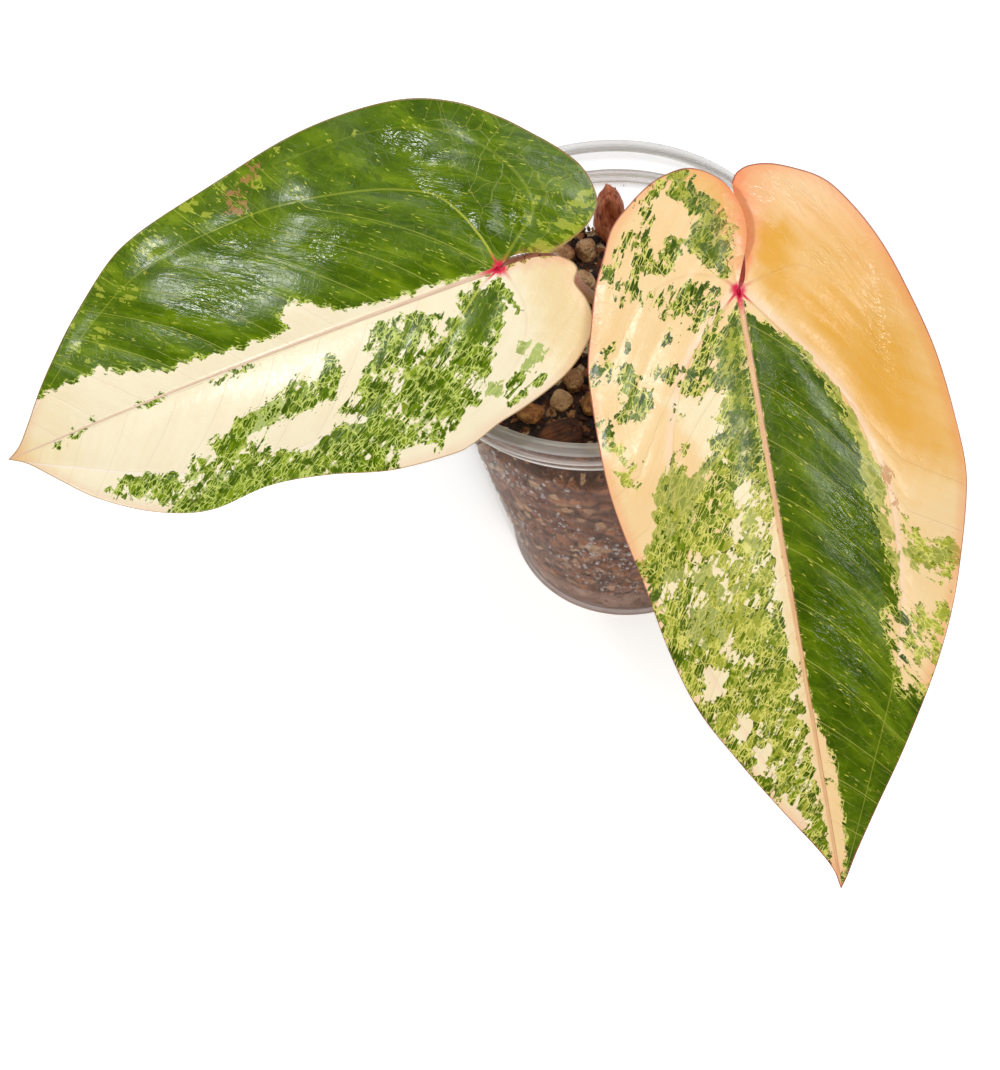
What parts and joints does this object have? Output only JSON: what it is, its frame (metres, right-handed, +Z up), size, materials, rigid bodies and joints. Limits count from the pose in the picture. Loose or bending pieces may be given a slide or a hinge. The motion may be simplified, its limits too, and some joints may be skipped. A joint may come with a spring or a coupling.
{
  "type": "potted variegated anthurium",
  "caption": "Young pendant-leaved anthurium with cream, peach and green variegation, growing in bark and pumice in a clear tapered cup.",
  "frame": {"origin": "middle of the flat underside of the cup, on the surface that it stands on", "axes": "+Z up along the cup's axis; -Y is the side that both leaf blades face; +X towards the leaf that hangs forwards"},
  "size_m": [0.2192, 0.1928, 0.1731],
  "materials": {
    "clear_plastic": "thin clear plastic, slightly hazy, with condensation inside",
    "soil": "damp, nearly black mix of bark fines and coir",
    "pumice": "dull, porous, pale tan",
    "bark": "reddish brown, rough, slightly damp",
    "stem": "green to tan, fibrous, semi-matt",
    "petiole": "reddish pink, smooth, semi-gloss",
    "leaf_green_cream": "leathery satin leaf, green above the midrib, cream with green mottling below it",
    "leaf_peach_green": "leathery satin leaf, peach lobes with a green middle"
  },
  "bodies": {
    "root": {"pot": "clear_plastic", "drainage_layer": "pumice", "substrate": "soil", "stem": "stem", "bark_chip_tall": "bark", "bark_chip_flat": "bark", "bark_chip_amber": "bark", "bark_chip_tan": "bark", "bark_chip_left": "bark", "bark_chip_rear": "bark", "bark_chip_right": "bark", "bark_chip_front": "bark", "pumice_pebble_1": "pumice", "pumice_pebble_2": "pumice", "pumice_pebble_3": "pumice", "pumice_pebble_4": "pumice", "pumice_pebble_5": "pumice", "pumice_pebble_6": "pumice", "pumice_pebble_7": "pumice", "pumice_pebble_8": "pumice", "pumice_pebble_9": "pumice", "petiole_left": "petiole", "petiole_right": "petiole", "leaf_left": "leaf_green_cream", "leaf_right": "leaf_peach_green"}
  },
  "joints": []
}
